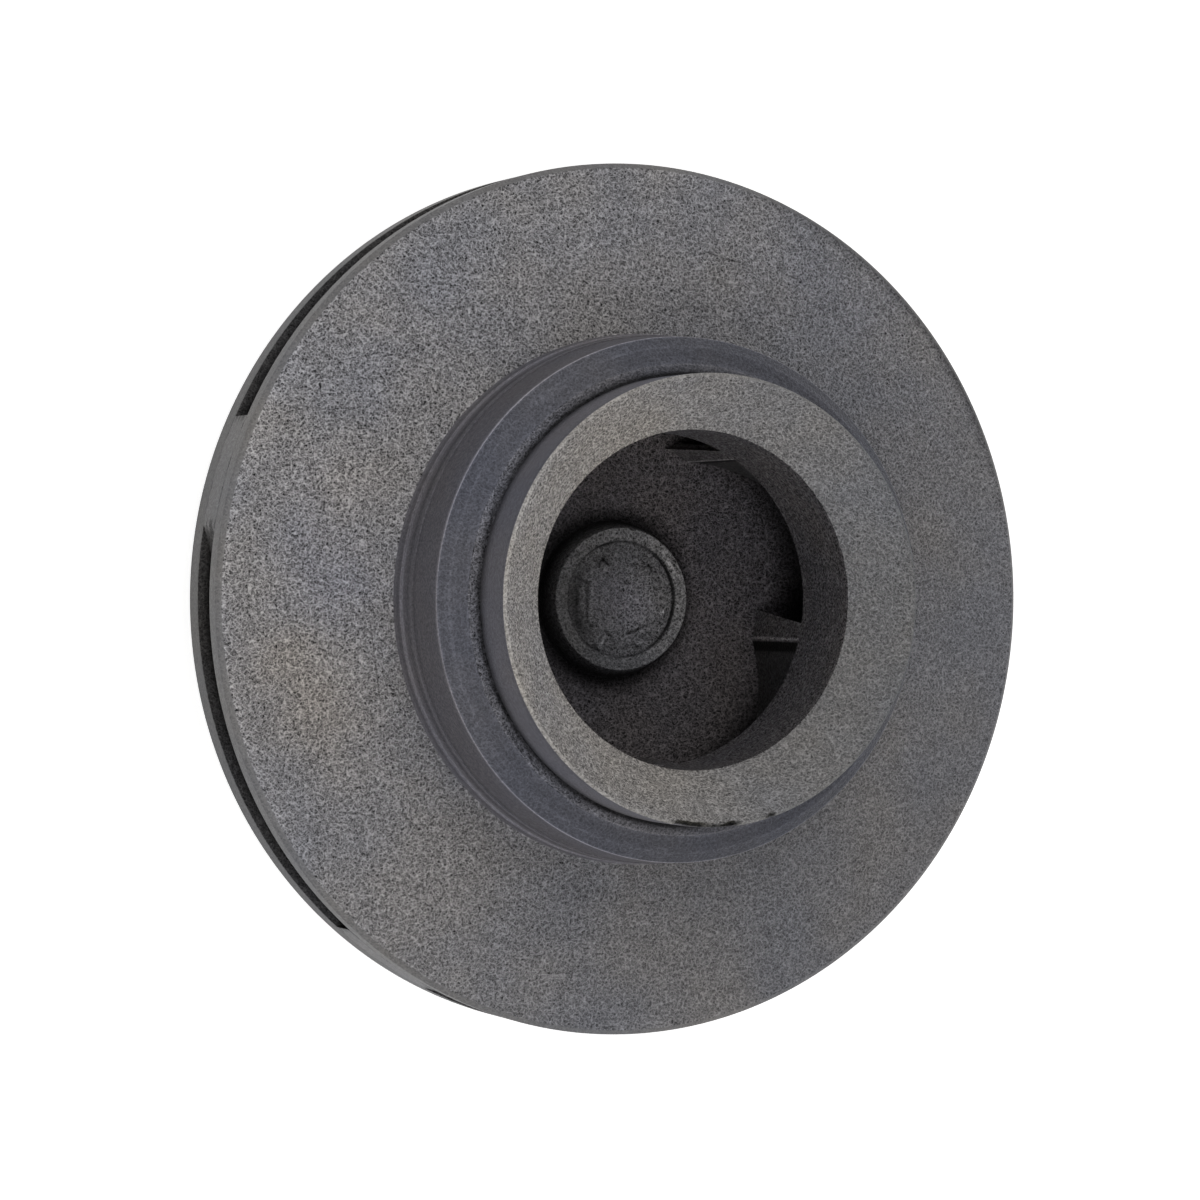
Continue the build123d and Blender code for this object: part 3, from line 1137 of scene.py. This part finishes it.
    def build(self, material: bpy.types.Material) -> bpy.types.Object:
        """Make the shroud.

        Args:
            material: the plastic.

        Returns:
            The piece.
        """
        rng = np.random.default_rng(SEED)
        profile = rounded(self.corners(), True)
        rows = len(profile.points)
        angles = np.arange(self.columns) * 360.0 / self.columns
        lumps = soft_noise(rng, (rows, self.columns), self.flash_blur)
        rough_side = np.maximum(np.cos(np.radians(angles - self.flash_side)), self.flash_least)
        offset = rows_in(profile.zones, (Zone.FLASH,))[:, None] * self.flash_lump * lumps * rough_side
        waves = soft_noise(rng, (rows, self.columns), self.face_blur)
        offset += rows_in(profile.zones, (Zone.FACE,))[:, None] * self.face_wave * waves
        skin = Skin.dressed(turned(profile, self.columns, offset), profile.zones)
        skin.lay_tone_and_painted_light(profile, self.drifts, self.bands, self.strokes, rng)
        self.chip(skin, profile, angles, rng)
        faces = grid_faces(rows, self.columns, True, True)
        return make_piece("front_shroud_skin", [(skin, faces)], material)

    def chip(self, skin: Skin, profile: Profile, angles: np.ndarray,
             rng: np.random.Generator) -> None:
        """Break the neck's front edge: points past a slanting plane are moved back onto it.

        Args:
            skin: the shroud's grid, changed in place.
            profile: its profile.
            angles: each column's angle.
            rng: the random source.
        """
        top = profile.points[:, 1].max()
        lean = np.array(self.chip_lean)
        corner = np.array([self.neck_radius, top])
        past = (profile.points - corner) @ lean
        ragged = soft_noise(rng, (len(profile.points), self.columns), self.chip_blur)
        depth = self.edge_wear + self.edge_ragged * np.abs(ragged)
        for start, arc, deep in self.chips:
            inside = window(angles, start, arc, self.chip_fade)[None, :]
            depth = depth + deep * inside * (self.chip_share + self.chip_ragged * ragged)
        near = np.all(profile.points > corner - self.chip_reach, axis=1)
        back = np.maximum(past[:, None] + depth, 0.0) * near[:, None]
        turn = np.radians(angles)
        skin.points[:, :, 0] -= back * lean[0] * np.cos(turn)
        skin.points[:, :, 1] -= back * lean[0] * np.sin(turn)
        skin.points[:, :, 2] -= back * lean[1]
        broken = np.clip((back - self.dark_from) / self.dark_over, 0.0, 1.0)
        skin.tone += (np.array(self.dark_tint) - skin.tone) * (broken * self.dark_share)[:, :, None]
        skin.grain += (self.dark_grain - skin.grain) * broken


# ---- vane body ----


@dataclass
class VaneBody:
    """The back shroud with its hub, the nose in the eye and the ring of vanes."""

    columns: int = 368
    rim_chamfer: float = 0.4
    hub_radius: float = 13.0
    hub_chamfer: float = 0.8
    hub_root: float = 2.0
    pocket_radius: float = 6.4
    pocket_depth: float = 17.2
    flange_radius: float = 8.5
    flange_thickness: float = 2.0
    nose_top_radius: float = 10.45
    nose_base_radius: float = 11.65
    nose_height: float = 4.5
    nose_ring: float = 1.85
    recess_depth: float = 0.6
    dome_rise: float = 0.35
    hexagon_apothem: float = 5.4
    hexagon_rise: float = 0.22
    hexagon_edge: float = 0.35
    crater_lip: float = 0.18
    crater_pit: float = 0.8
    crater_floor: float = 0.6
    recess_draft: float = 0.12
    rim_run: float = 4.0
    eye_run: float = 8.0
    floor_blur: tuple[float, float] = (2.0, 7.0)
    floor_wave: float = 0.04
    pips: tuple[tuple[float, float, float, float], ...] = (
        (341.0, 6.5, 0.42, 0.45),
        (293.0, 7.0, 0.45, 0.45),
        (242.0, 7.7, 0.55, 0.30),
        (184.0, 6.9, 0.40, 0.20),
    )
    craters: tuple[tuple[float, float, float, float], ...] = (
        (121.0, 6.1, 0.65, 0.30),
        (48.0, 5.9, 0.65, 0.26),
    )
    stations: int = 70
    side_steps: int = 12
    across_points: int = 13
    nose_stations: tuple[float, ...] = (0.0, 0.3, 0.6, 0.9)
    sink: float = 0.05
    bite: float = 0.03
    strokes: tuple[Stroke, ...] = (
        Stroke((Zone.NOSE,), (-1.0, 0.6), (0.8, -0.8), 3.8, (1.10, 1.09, 1.16)),
    )
    nose_swell: float = 1.1
    swell_reach: float = 5.0
    # Painted light on the vanes: the outer side is lightened near the eye, a highlight is painted along the
    # nose's corner, and shade is painted in a line beneath it.
    eye_light_reach: float = 4.0
    eye_light_gain: float = 2.0
    corner_highlight_gain: float = 3.3
    crease_shade_gain: float = 0.12
    # Painted light in the eye: the ring, the nose and the floor are made lighter on the right, where light
    # falls in past the eye's left lip.
    drifts: tuple[Drift, ...] = (
        Drift((Zone.RING,), 15.0, 0.30, 0.15),
        Drift((Zone.NOSE,), 345.0, 0.20, 0.10),
        Drift((Zone.FLOOR,), 10.0, 0.20, 0.10),
    )
    # Painted light among the bands: painted shade on the passages' floor inwards from the rim and under the
    # eye's roof, at the nose's foot and on the floor round it, in the recess with a painted shadow on its
    # left, and in the crease inside the ring. There is a painted highlight on the ring's top edge. The rim
    # bands only darken the rim, most at its edges.
    bands: tuple[Band, ...] = (
        Band((Zone.RIM,), 1, 12.2, 0.6, 0.55),
        Band((Zone.RIM,), 1, 16.1, 0.5, 0.80),
        Band((Zone.PASSAGE,), 0, 61.7, 0.65, 0.12, 0.1),
        Band((Zone.RING,), 1, 17.2, 2.0, 0.12, 0.1),
        Band((Zone.RIM,), 1, 14.0, 3.0, 0.72, 0.1),
        Band((Zone.NOSE,), 0, 7.5, 1.0, 0.42, 0.3, 130.0, 110.0),
        Band((Zone.FLOOR, Zone.PASSAGE), 0, 31.0, 3.6, 0.12, 0.1),
        Band((Zone.FLOOR,), 0, 11.8, 1.5, 0.25, 0.1),
        Band((Zone.RING,), 0, 10.45, 0.25, 1.25),
        Band((Zone.NOSE, Zone.RING), 0, 8.45, 0.22, 0.35),
        Band((Zone.NOSE,), 0, 7.2, 1.1, 0.78),
    )

    def corners(self) -> list[Corner]:
        """Return the profile's corners, from the pocket out over the hub and back and in over the floor."""
        nose = SIZES.floor + self.nose_height
        recess = nose - self.recess_depth
        recess_radius = self.nose_top_radius - self.nose_ring
        root = self.hub_radius + self.hub_root
        return [
            Corner(0.0, self.pocket_depth, 0.0, Zone.HIDDEN),
            Corner(self.pocket_radius, self.pocket_depth, 0.0, Zone.HIDDEN, 3.0),
            Corner(self.pocket_radius, self.flange_thickness, 0.0, Zone.HIDDEN, 5.0),
            Corner(self.flange_radius, self.flange_thickness, 0.0, Zone.HIDDEN, 3.0),
            Corner(self.flange_radius, 0.0, 0.1, Zone.HIDDEN, 3.0),
            Corner(self.hub_radius - self.hub_chamfer, 0.0, 0.15, Zone.HUB, 1.0),
            Corner(self.hub_radius, self.hub_chamfer, 0.2, Zone.HUB, 1.0),
            Corner(self.hub_radius, SIZES.back_face - self.hub_root, 0.8, Zone.HUB, 1.2),
            Corner(root, SIZES.back_face, 0.8, Zone.HUB, 1.0),
            Corner(SIZES.disc_radius - self.rim_chamfer, SIZES.back_face, 0.1, Zone.BACK, 1.6),
            Corner(SIZES.disc_radius, SIZES.back_face + self.rim_chamfer, 0.15, Zone.RIM, 0.5),
            Corner(SIZES.disc_radius, SIZES.floor, 0.12, Zone.RIM, 0.9),
            Corner(SIZES.disc_radius - self.rim_run, SIZES.floor, 0.0, Zone.PASSAGE, 0.4),
            Corner(SIZES.eye_radius + self.eye_run, SIZES.floor, 0.0, Zone.PASSAGE, 2.5),
            Corner(self.nose_base_radius, SIZES.floor, 0.5, Zone.FLOOR, 0.7),
            Corner(self.nose_top_radius, nose, 0.3, Zone.RING, 0.6),
            Corner(recess_radius, nose, 0.12, Zone.RING, 0.3),
            Corner(recess_radius - self.recess_draft, recess, 0.12, Zone.NOSE, 0.3),
            Corner(0.0, recess, 0.0, Zone.NOSE, 0.22),
        ]

    def nose_relief(self, x: np.ndarray, y: np.ndarray) -> np.ndarray:
        """Return the height of the dome, hexagon, pips and craters above the recess.

        The dome is a parabola, the hexagon a soft step at its apothem, a pip a bell and a crater the
        bell of the distance from its rim.

        Args:
            x: places across, in mm.
            y: places up, in mm.

        Returns:
            Heights in mm.
        """
        reach = np.hypot(x, y)
        recess_radius = self.nose_top_radius - self.nose_ring - self.recess_draft
        height = self.dome_rise * (1 - np.clip(reach / recess_radius, 0, 1) ** 2)
        normals = np.radians(np.arange(0, 360, 60))
        flats = np.max([x * np.cos(n) + y * np.sin(n) for n in normals], axis=0)
        step = np.clip((self.hexagon_apothem - flats) / self.hexagon_edge + 0.5, 0.0, 1.0)
        height += self.hexagon_rise * step * step * (3 - 2 * step)
        for angle, radius, size, rise in self.pips:
            height += rise * np.exp(-((distance(x, y, angle, radius) / size) ** 4))
        for angle, radius, size, rise in self.craters:
            away = distance(x, y, angle, radius)
            lip = np.exp(-(((away - size) / self.crater_lip) ** 2))
            pit = np.exp(-((away / (self.crater_floor * size)) ** 2))
            height += rise * (lip - self.crater_pit * pit)
        return height

    def body(self) -> tuple[Skin, np.ndarray]:
        """Make the turned part of the body.

        Returns:
            Its grid and faces.
        """
        rng = np.random.default_rng(SEED + 1)
        profile = rounded(self.corners(), False)
        rows = len(profile.points)
        waves = soft_noise(rng, (rows, self.columns), self.floor_blur)
        offset = rows_in(profile.zones, (Zone.FLOOR,))[:, None] * self.floor_wave * waves
        points = turned(profile, self.columns, offset)
        half_way = SIZES.floor + self.nose_height - self.recess_depth / 2
        on_nose = rows_in(profile.zones, (Zone.NOSE,)) * (profile.points[:, 1] < half_way)
        points[:, :, 2] += on_nose[:, None] * self.nose_relief(points[:, :, 0], points[:, :, 1])
        skin = Skin.dressed(points, profile.zones)
        skin.lay_tone_and_painted_light(profile, self.drifts, self.bands, self.strokes, rng)
        return skin, grid_faces(rows, self.columns, False, True)

    def vane(self, index: int) -> list[tuple[Skin, np.ndarray]]:
        """Make one vane as a closed shell of rings along its length and two end patches.

        A point at share w across the vane, radius r and level z stands at the angle
        inner(r) + w * (outer(r, z) - inner(r)).

        Args:
            index: the vane's number.

        Returns:
            Grids and their faces.
        """
        n = self.side_steps
        nose = np.array(self.nose_stations)
        first = SIZES.eye_radius + SIZES.vane_nose_chamfer
        along = np.linspace(0, 1, self.stations - len(nose))
        radius = np.concatenate([SIZES.eye_radius + nose, first + (SIZES.disc_radius - first) * along])
        low = np.full_like(radius, SIZES.floor - self.sink)
        high = SIZES.roof_level(radius) + self.bite
        up = np.linspace(0, 1, n + 1)
        across = np.linspace(0.0, 1.0, self.across_points)
        ring_w = np.concatenate([np.zeros(n), across[:-1], np.ones(n), across[:0:-1]])
        ends = len(across) - 1
        ring_v = np.concatenate([1 - up[:-1], np.zeros(ends), up[:-1], np.ones(ends)])
        shell = self.place(index, radius[:, None], ring_w[None, :], ring_v[None, :],
                           low[:, None], high[:, None])
        shell_skin = Skin.dressed(shell, [Zone.PASSAGE] * len(radius))
        # Painted light: each vane's outer side is made lighter near the eye, where light falls in through
        # it.
        near = np.exp(-(((radius - SIZES.eye_radius) / self.eye_light_reach) ** 2))
        eye_light = near[:, None] * (ring_w > 0.5)[None, :]
        shell_skin.tone *= 1 + (self.eye_light_gain * eye_light)[:, :, None]
        # Painted highlight along the corner of the vane's nose, and painted shade in a line beneath it.
        inner = np.flatnonzero(ring_w == 0.0)
        shell_skin.tone[0, inner] = np.array(FINISHES[Zone.BORE].tint) * self.corner_highlight_gain
        shell_skin.tone[1:len(nose), inner] *= self.crease_shade_gain
        patches = [(shell_skin, grid_faces(len(radius), len(ring_w), False, True))]
        w, v = np.meshgrid(across, up, indexing="ij")
        for station, flip, zone in ((0, False, Zone.BORE), (-1, True, Zone.RIM)):
            r = np.full_like(w, radius[station])
            cap = self.place(index, r, w, v, low[station] + 0 * w, high[station] + 0 * w)
            faces = grid_faces(len(across), len(up), False, False)
            cap_skin = Skin.dressed(cap, [zone] * len(across))
            # Painted highlight on the nose cap's corner.
            if zone is Zone.BORE:
                cap_skin.tone[0] *= self.corner_highlight_gain
            patches.append((cap_skin, faces[:, ::-1] if flip else faces))
        return patches

    def place(self, index: int, radius: np.ndarray, w: np.ndarray, v: np.ndarray,
              low: np.ndarray, high: np.ndarray) -> np.ndarray:
        """Return points of a vane from its own coordinates.

        Args:
            index: the vane's number.
            radius: distance from the axis.
            w: share across the vane, 0 on the inner side.
            v: share of the height.
            low: the lowest level.
            high: the highest level.

        Returns:
            Points in mm.
        """
        level = low + v * (high - low)
        share = (level - SIZES.floor) / (SIZES.eye_end - SIZES.floor)
        arc = SIZES.inlet_arc + (SIZES.inlet_top_arc - SIZES.inlet_arc) * share
        corner = SIZES.inlet_corner_angle
        swell = self.nose_swell * np.exp(-(((radius - SIZES.eye_radius) / self.swell_reach) ** 2))
        inner = SIZES.side_angle(radius, corner, SIZES.vane_wrap) - swell
        reach = np.maximum(radius, SIZES.eye_radius + SIZES.vane_nose_chamfer)
        outer = SIZES.side_angle(reach, corner + arc, SIZES.vane_wrap + arc - SIZES.outlet_arc)
        short = np.clip((reach - radius) / SIZES.vane_nose_chamfer, 0, 1) ** 2
        nose_end = corner + arc - np.degrees(SIZES.vane_nose_chamfer / SIZES.eye_radius)
        outer = outer + (nose_end - outer) * short
        angle = np.radians(inner + w * (outer - inner) + 360.0 / SIZES.vane_count * index)
        return np.stack([radius * np.cos(angle), radius * np.sin(angle), level + 0 * angle], axis=-1)

    def build(self, material: bpy.types.Material) -> bpy.types.Object:
        """Make the body with its vanes.

        Args:
            material: the plastic.

        Returns:
            The piece.
        """
        skins = [self.body()]
        for index in range(SIZES.vane_count):
            skins += self.vane(index)
        return make_piece("vane_body_skin", skins, material)


# ---- shaft insert ----


@dataclass
class ShaftInsert:
    """The flanged brass insert with its tapped hole. What the hub hides of it is a plain round body."""

    columns: int = 96
    flange_radius: float = 8.48
    flange_thickness: float = 2.0
    body_radius: float = 6.3
    length: float = 17.0
    minor_radius: float = 3.4
    major_radius: float = 4.0
    pitch: float = 1.25
    depth: float = 13.0
    point_depth: float = 15.0
    mouth_chamfer: float = 0.7
    end_level: float = 0.02
    wall_rows: int = 220
    runout: float = 0.05
    flank: float = 2.5

    def build(self, material: bpy.types.Material) -> bpy.types.Object:
        """Make the insert. The hole's wall is r = minor + height * tooth(level / pitch - turn).

        The tooth is a triangle wave with its top cut flat, and it fades out over the last pitch.

        Args:
            material: the brass.

        Returns:
            The piece.
        """
        mouth = self.minor_radius + self.mouth_chamfer
        outside = rounded([
            Corner(0.0, self.length, 0.0, Zone.HIDDEN, 5.0),
            Corner(self.body_radius, self.length, 0.0, Zone.HIDDEN, 5.0),
            Corner(self.body_radius, self.flange_thickness, 0.0, Zone.HIDDEN, 5.0),
            Corner(self.flange_radius, self.flange_thickness, 0.0, Zone.HIDDEN, 5.0),
            Corner(self.flange_radius, self.end_level, 0.25, Zone.HIDDEN, 1.0),
            Corner(mouth, self.end_level, 0.05, Zone.HIDDEN, 0.8),
        ], False)
        wall = np.linspace(self.end_level, self.depth, self.wall_rows)
        taper = np.maximum(mouth - wall, self.minor_radius)
        points = np.concatenate([
            outside.points,
            np.stack([taper[1:], wall[1:]], axis=1),
            np.array([[self.minor_radius, self.depth + self.runout], [0.0, self.point_depth]]),
        ])
        profile = Profile(points, [Zone.HIDDEN] * len(points))
        turn = np.linspace(0, 1, self.columns, endpoint=False)[None, :]
        phase = (points[:, 1][:, None] / self.pitch - turn) % 1.0
        tooth = np.clip((0.5 - np.abs(phase - 0.5)) * self.flank, 0.0, 1.0)
        on_wall = np.zeros(len(points), bool)
        on_wall[len(outside.points):-2] = True
        fade = np.clip((self.depth - points[:, 1]) / self.pitch, 0.0, 1.0)[:, None]
        grid = turned(profile, self.columns, np.zeros((len(points), self.columns)))
        reach = np.hypot(grid[:, :, 0], grid[:, :, 1])
        height = self.major_radius - self.minor_radius
        groove = np.maximum(reach, self.minor_radius + height * tooth * fade)
        scale = np.where(on_wall[:, None], groove / np.maximum(reach, 1e-6), 1.0)
        grid[:, :, :2] *= scale[:, :, None]
        skin = Skin.dressed(grid, profile.zones)
        faces = grid_faces(len(points), self.columns, False, True)
        return make_piece("shaft_insert_skin", [(skin, faces[:, ::-1])], material)


# ---- studio ----


@dataclass(frozen=True)
class Lamp:
    """A soft area lamp, aimed at the object."""

    name: str
    place: tuple[float, float, float]
    size: float
    power: float
    colour: tuple[float, float, float]


@dataclass(frozen=True)
class Studio:
    """Floor, world, lamps and camera.

    White floor and sky show to camera rays and through reflection and glass. Other rays get less.
    """

    camera_place: tuple[float, float, float] = (-234.778, 2.833, 558.520)
    camera_right: tuple[float, float, float] = (0.9186675, 0.0021818, 0.3950256)
    camera_up: tuple[float, float, float] = (0.0, 0.9999847, -0.0055231)
    focal_mm: float = 120.0
    sensor_mm: float = 36.0
    floor_side: float = 4.0
    clip_start: float = 0.01
    floor_tone: float = 0.80
    floor_glow: float = 0.68
    ambient: float = 0.34
    lamps: tuple[Lamp, ...] = (
        Lamp("upper", (0.0, 0.459, 0.655), 0.5, 1.95, (1.0, 0.99, 0.97)),
        Lamp("left", (-0.364, -0.364, 0.613), 0.5, 1.80, (1.0, 0.99, 0.97)),
        Lamp("right", (0.257, -0.445, 0.613), 0.5, 0.90, (0.97, 0.98, 1.0)),
    )

    def floor(self) -> None:
        """Lay the floor: white where lit, so only the shadow shows."""
        g = Graph("floor_white")
        tone = (self.floor_tone, self.floor_tone, self.floor_tone, 1.0)
        diffuse = g.signal("ShaderNodeBsdfDiffuse", {}, {"Color": tone})
        glow = g.signal("ShaderNodeEmission", {}, {"Color": WHITE, "Strength": self.floor_glow * g.seen()})
        both = g.node("ShaderNodeAddShader", {}, {0: diffuse, 1: glow})
        half = self.floor_side / 2
        square = [(-half, -half, 0), (half, -half, 0), (half, half, 0), (-half, half, 0)]
        mesh = bpy.data.meshes.new("floor")
        mesh.from_pydata(square, [], [(0, 1, 2, 3)])
        mesh.materials.append(g.finish(both))
        floor = bpy.data.objects.new("floor", mesh)
        bpy.context.collection.objects.link(floor)

    def world(self) -> None:
        """Light the world evenly, and show it white to camera, glossy and transmission rays."""
        world = bpy.data.worlds.new("studio")
        world.use_nodes = True
        bpy.context.scene.world = world
        g = Graph("studio", world.node_tree)
        sky = world.node_tree.nodes["Background"]
        sky.inputs["Color"].default_value = WHITE
        strength = g.seen() * (1.0 - self.ambient) + self.ambient
        world.node_tree.links.new(strength.socket, sky.inputs["Strength"])

    def lights(self) -> None:
        """Hang the lamps."""
        for lamp in self.lamps:
            data = bpy.data.lights.new(lamp.name, "AREA")
            data.shape = "DISK"
            data.size = lamp.size
            data.energy = lamp.power
            data.color = lamp.colour
            thing = bpy.data.objects.new(lamp.name, data)
            thing.location = lamp.place
            thing.rotation_euler = Vector(lamp.place).to_track_quat("Z", "Y").to_euler()
            bpy.context.collection.objects.link(thing)

    def camera(self) -> None:
        """Set the camera from its place and its right and up directions."""
        data = bpy.data.cameras.new("camera")
        data.sensor_width = self.sensor_mm
        data.lens = self.focal_mm
        data.clip_start = self.clip_start
        thing = bpy.data.objects.new("camera", data)
        right, up = Vector(self.camera_right), Vector(self.camera_up)
        back = right.cross(up)
        turn = Matrix((right, up, back)).transposed().to_4x4()
        thing.matrix_world = Matrix.Translation(Vector(self.camera_place) * MM) @ turn
        bpy.context.collection.objects.link(thing)
        bpy.context.scene.camera = thing

    def build(self) -> None:
        """Set up the whole studio."""
        self.floor()
        self.world()
        self.lights()
        self.camera()
        bpy.context.scene.view_settings.view_transform = "Standard"


def add_piece(piece: bpy.types.Object, node: str) -> None:
    """Fix a piece to the body and let it stand for its CAD node.

    Args:
        piece: the new piece.
        node: the CAD node that it replaces.
    """
    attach(piece, "root")
    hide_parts(node)


def main() -> None:
    """Build every piece in order and dress the stage."""
    logging.basicConfig(level=logging.INFO, format="%(name)s: %(message)s")
    plastic = PlasticSkin().build()
    brass = BrassSkin().build()
    add_piece(FrontShroud().build(plastic), "front_shroud")
    add_piece(VaneBody().build(plastic), "vane_body")
    add_piece(ShaftInsert().build(brass), "shaft_insert")
    Studio().build()


if __name__ == "__main__":
    main()
